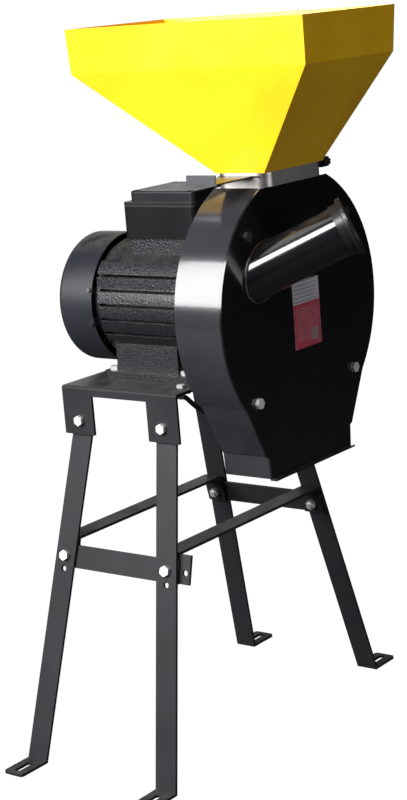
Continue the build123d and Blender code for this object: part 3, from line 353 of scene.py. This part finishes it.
def printed_label(name):
    """Grey strip above a red field, both with fine rules, a striped block and a light border."""
    s = Shader(name)
    low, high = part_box("label")
    across = s.range(s.axis("X"), low.x, high.x)
    up = s.range(s.axis("Z"), low.z, high.z)

    def both(first, second):
        return s.math("MULTIPLY", first, second)

    def window(value, start, end):
        return both(s.math("GREATER_THAN", value, start), s.math("LESS_THAN", value, end))

    def rows(count, share):
        return s.math("GREATER_THAN", s.math("FRACT", both(up, count)), 1 - share)

    red = s.mix(s.range(s.noise(60.0, 4.0), 0.35, 0.65), (0.58, 0.075, 0.120), (0.66, 0.100, 0.150))
    upper = s.math("GREATER_THAN", up, 0.66)
    tone = s.mix(upper, red, (0.66, 0.65, 0.70))
    broken = s.range(s.noise(1.0, 3.0, 0.7, vector=s.stretched(420, 1, 30)), 0.38, 0.46)
    field = both(window(up, 0.09, 0.60), window(across, 0.09, 0.91))
    red_rules = both(both(rows(24.0, 0.42), broken), field)
    tone = s.mix(both(red_rules, 0.5), tone, (0.60, 0.42, 0.45))
    grey_rules = both(both(rows(17.0, 0.35), broken), both(upper, window(across, 0.07, 0.90)))
    tone = s.mix(both(grey_rules, 0.6), tone, (0.12, 0.11, 0.18))
    block = both(window(across, 0.62, 0.90), window(up, 0.08, 0.26))
    stripes = s.math("GREATER_THAN", s.math("FRACT", both(across, 42.0)), 0.5)
    striped = s.mix(stripes, (0.62, 0.56, 0.57), (0.20, 0.06, 0.08))
    tone = s.mix(both(block, 0.85), tone, striped)
    border = s.math("GREATER_THAN", s.math("ABSOLUTE", s.math("SUBTRACT", across, 0.5)), 0.475)
    tone = s.mix(both(border, 0.5), tone, (0.50, 0.22, 0.26))
    worn = s.range(s.noise(35.0, 6.0, 0.7), 0.62, 0.75, 0.0, 0.35)
    tone = s.mix(worn, tone, (0.36, 0.28, 0.29))
    s.set(colour=tone, rough=s.range(worn, 0.0, 0.35, 0.28, 0.5), coat=0.2)
    return s.material


def two_tone_bolts(name):
    """Zinc bolts low on the cover, blackened ones above the shaft."""
    s = Shader(name)
    grain = s.noise(60.0, 5.0, 0.6, vector=s.stretched(30, 30, 30))
    plated = s.mix(s.range(grain, 0.35, 0.65), (0.80, 0.80, 0.81), (0.95, 0.95, 0.96))
    blackened = s.mix(s.range(grain, 0.4, 0.7), (0.012, 0.012, 0.013), (0.03, 0.03, 0.03))
    high = s.range(s.axis("Z"), 0.61, 0.63)
    tone = s.mix(high, plated, blackened)
    s.set(colour=tone, metal=s.range(high, 0.0, 1.0, 0.5, 0.0), rough=0.42,
          normal=s.bump(grain, 0.00003, edge=METAL_EDGE))
    return s.material


# ============================================================== materials
YELLOW = (0.98, 0.53, 0.012)
STAND = (0.022, 0.0215, 0.0245)


def dress_nodes():
    """One finish for each material slot of the record, put on every node of the slot.  Three
    nodes then have one of their own.  The terminal box lid's is a lighter copy of the box
    paint: painted light on the lid, against painted shade on the box."""
    finishes = {
        "stand_paint": paint("stand paint", STAND, rough=0.45, peel=0.00003, dust=0.12, spec=0.16),
        "mill_paint": paint("mill paint", (0.006, 0.006, 0.0075), rough=0.16, coat=0.6, peel=0.000025,
                            dust=0.15, scratches=0.15),
        "cap_plastic": moulded("cap plastic", (0.012, 0.012, 0.014), 0.3),
        "motor_paint": hammertone("hammered enamel", (0.011, 0.0115, 0.0145)),
        "fan_cover_paint": paint("fan cover paint", (0.016, 0.017, 0.0225), rough=0.36, peel=0.00002,
                                 spec=0.3),
        # The box paint is a darker copy of the lid's paint: painted shade on the box's side, while the
        # lid's copy carries painted light.
        "box_paint": paint("terminal box paint shaded copy", (0.0055, 0.0055, 0.007), rough=0.33, peel=0.00005,
                           dust=0.3, spec=0.15),
        "gasket_rubber": moulded("gasket rubber", (0.010, 0.010, 0.010), 0.7),
        "zinc": metal("bright zinc", (0.86, 0.86, 0.87), 0.42, grain_scale=60.0, metallic=0.7,
                      dull=0.15),
        "steel": metal("machined steel", (0.46, 0.46, 0.47), 0.28, grain=(60, 4, 60)),
        "hammer_steel": metal("hammer steel", (0.26, 0.25, 0.25), 0.42, dull=0.7, depth=0.00008),
        "laminations": laminated("laminations", (0.30, 0.30, 0.31)),
        "copper": winding("copper wire", (0.72, 0.33, 0.16)),
        "fan_plastic": moulded("fan plastic", (0.03, 0.03, 0.032), 0.5),
        "block_plastic": moulded("block plastic", (0.26, 0.26, 0.25), 0.45),
        "hopper_yellow": paint("hopper yellow", YELLOW, rough=0.24, coat=0.25, peel=0.00003, dust=0.06,
                               scratches=0.1, spec=0.3),
        "black_steel": paint("black steel", (0.020, 0.020, 0.022), rough=0.35, dust=0.2),
        "neck_metal": metal("neck steel", (0.46, 0.44, 0.42), 0.40, grain=(4, 4, 40), dull=0.25),
        "gate_metal": metal("gate steel", (0.085, 0.085, 0.092), 0.36, grain=(4, 60, 60)),
        "knob_black": moulded("knob black", (0.010, 0.010, 0.011), 0.35),
        "cord_black": moulded("cord sheath", (0.010, 0.010, 0.011), 0.42, grain=0.00004, scale=1600.0),
        "plug_black": moulded("plug black", (0.012, 0.012, 0.013), 0.45),
        "label_print": printed_label("label print"),
    }
    for entry in frame["record"]["subparts"]:
        mesh = nodes[entry["node"]].data
        mesh.materials.clear()
        mesh.materials.append(finishes[entry["material_slot"]])
    own = {
        "cover_bolts": two_tone_bolts("cover bolts"),
        "mill_housing": paint("housing paint", (0.026, 0.0255, 0.030), rough=0.17, coat=0.5,
                              peel=0.00003, dust=0.15, scratches=0.15),
        # The lid gets a lighter copy of the box paint: painted light on the lid's lit side, against
        # the painted shade of the box's side.
        "terminal_box_lid": paint("terminal box lid lit copy", (0.010, 0.010, 0.0125), rough=0.3, peel=0.00005,
                                  dust=0.4, spec=0.25),
    }
    for name, finish in own.items():
        nodes[name].data.materials[0] = finish
    return finishes


# ================================================================== beads
def add_bead(name, centre, radius, material):
    """Weld bead: a round section swept along a closed curve.  centre(t) is the curve for t from
    0 to 1.  A point is centre(t) plus the section's radius times the cosine of the angle round it
    towards the outside, plus its sine sideways.  The radius is multiplied by 1, plus a share of
    the size of a sine with BEAD_RIPPLES half waves, plus a share of a slow uneven sine.  Both
    come round whole, so the seam closes."""
    t = np.linspace(0, 1, BEAD_STEPS, endpoint=False)
    line = centre(t)
    ahead = np.roll(line, -1, axis=0) - np.roll(line, 1, axis=0)
    ahead /= np.linalg.norm(ahead, axis=1)[:, None]
    out = line - line.mean(axis=0)
    out -= (out * ahead).sum(axis=1)[:, None] * ahead
    out /= np.linalg.norm(out, axis=1)[:, None]
    side = np.cross(ahead, out)
    around = np.linspace(0, 2 * math.pi, BEAD_SIDES, endpoint=False)
    wander = 2 * math.pi * (6 * t + 0.5 * np.sin(4 * math.pi * t))
    swell = np.abs(np.sin(math.pi * BEAD_RIPPLES * t))
    ripple = radius * (1 + BEAD_SWELL * swell + BEAD_WANDER * np.sin(wander))
    ring = out[:, None] * np.cos(around)[None, :, None] + side[:, None] * np.sin(around)[None, :, None]
    points = (line[:, None] + ring * ripple[:, None, None]).reshape(-1, 3)
    i, j = np.meshgrid(np.arange(BEAD_STEPS), np.arange(BEAD_SIDES), indexing="ij")
    i2, j2 = (i + 1) % BEAD_STEPS, (j + 1) % BEAD_SIDES
    corners = [i * BEAD_SIDES + j, i * BEAD_SIDES + j2, i2 * BEAD_SIDES + j2, i2 * BEAD_SIDES + j]
    mesh = bpy.data.meshes.new(name)
    mesh.from_pydata(points.tolist(), [], np.stack(corners, axis=-1).reshape(-1, 4).tolist())
    mesh.polygons.foreach_set("use_smooth", [True] * len(mesh.polygons))
    mesh.materials.append(material)
    bead = bpy.data.objects.new(name, mesh)
    bpy.context.scene.collection.objects.link(bead)
    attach(bead, "machine")
    return bead


def tube_foot(t):
    """Where the feed tube's outer surface meets the cover's face: the tube's base, plus a circle
    round its axis, plus the length along the axis that brings each point to the face."""
    axis = np.array(TUBE_AXIS) / np.linalg.norm(TUBE_AXIS)
    first = np.cross(axis, (0, 0, 1))
    first /= np.linalg.norm(first)
    second = np.cross(axis, first)
    angle = 2 * math.pi * t[:, None]
    off = BEAD_R * BEAD_SINK
    round_axis = (TUBE_R + off) * (np.cos(angle) * first + np.sin(angle) * second)
    along = -(round_axis[:, 1] + off) / axis[1]
    return np.array(TUBE_BASE) + round_axis + along[:, None] * axis


# ========================================================== floor and light
def add_floor():
    """Pale floor that runs out of view; it looks near white and gives little light back."""
    mesh = bpy.data.meshes.new("floor")
    corners = [(x * FLOOR_HALF, y * FLOOR_HALF, 0) for x, y in ((-1, -1), (1, -1), (1, 1), (-1, 1))]
    mesh.from_pydata(corners, [], [(0, 1, 2, 3)])
    floor = bpy.data.objects.new("floor", mesh)
    bpy.context.scene.collection.objects.link(floor)
    s = Shader("floor")
    s.set(colour=(0.05, 0.05, 0.05), rough=0.9, spec=0.1)
    glow = s.tree.nodes.new("ShaderNodeEmission")
    glow.inputs["Strength"].default_value = 1.06
    blend = s.tree.nodes.new("ShaderNodeMixShader")
    seen = s.tree.nodes.new("ShaderNodeLightPath").outputs["Is Camera Ray"]
    s.link(s.math("MULTIPLY", seen, 0.95), blend.inputs[0])
    s.link(s.surface.outputs["BSDF"], blend.inputs[1])
    s.link(glow.outputs["Emission"], blend.inputs[2])
    s.link(blend.outputs["Shader"], s.tree.nodes["Material Output"].inputs["Surface"])
    mesh.materials.append(s.material)


def add_light(name, place, aim, size, power):
    """White soft box at place, turned to face aim."""
    data = bpy.data.lights.new(name, "AREA")
    data.shape = "RECTANGLE"
    data.size, data.size_y = size
    data.energy = power
    lamp = bpy.data.objects.new(name, data)
    bpy.context.scene.collection.objects.link(lamp)
    lamp.location = place
    lamp.rotation_euler = (Vector(aim) - Vector(place)).to_track_quat("-Z", "Y").to_euler()


def add_world():
    """White behind the object, a dim even room for everything else."""
    world = bpy.data.worlds.new("studio")
    bpy.context.scene.world = world
    world.use_nodes = True
    tree = world.node_tree
    tree.nodes.clear()
    output = tree.nodes.new("ShaderNodeOutputWorld")
    back = tree.nodes.new("ShaderNodeBackground")
    room = tree.nodes.new("ShaderNodeBackground")
    mix = tree.nodes.new("ShaderNodeMixShader")
    path = tree.nodes.new("ShaderNodeLightPath")
    back.inputs["Color"].default_value = (1, 1, 1, 1)
    back.inputs["Strength"].default_value = 1.05
    room.inputs["Color"].default_value = (0.96, 0.98, 1.0, 1)
    room.inputs["Strength"].default_value = 0.05
    tree.links.new(path.outputs["Is Camera Ray"], mix.inputs[0])
    tree.links.new(room.outputs[0], mix.inputs[1])
    tree.links.new(back.outputs[0], mix.inputs[2])
    tree.links.new(mix.outputs[0], output.inputs["Surface"])


def add_studio():
    """Floor, room and five soft boxes; the key and high ones stand on the -X side."""
    add_floor()
    add_world()
    add_light("key", (-2.55, 1.0, 1.75), (0, 0.45, 1.0), (2.0, 1.8), 172)
    add_light("high", (-2.1, -0.45, 2.65), (0, -0.2, 0.7), (1.0, 0.8), 58)
    add_light("top", (-0.3, 0.4, 3.0), (0, 0.1, 0.5), (1.6, 1.6), 14)
    add_light("rear", (1.9, 1.45, 1.05), (0, 0, 0.75), (1.2, 0.4), 3)
    add_light("front", (0.6, -2.8, 0.35), (0, -0.2, 0.7), (1.6, 1.0), 14)
    bpy.context.scene.view_settings.view_transform = "Standard"


add_camera()
cord = add_cord()
finishes = dress_nodes()
cord.data.materials.append(finishes["cord_black"])
add_bead("tube_weld", tube_foot, BEAD_R, finishes["mill_paint"])
add_studio()
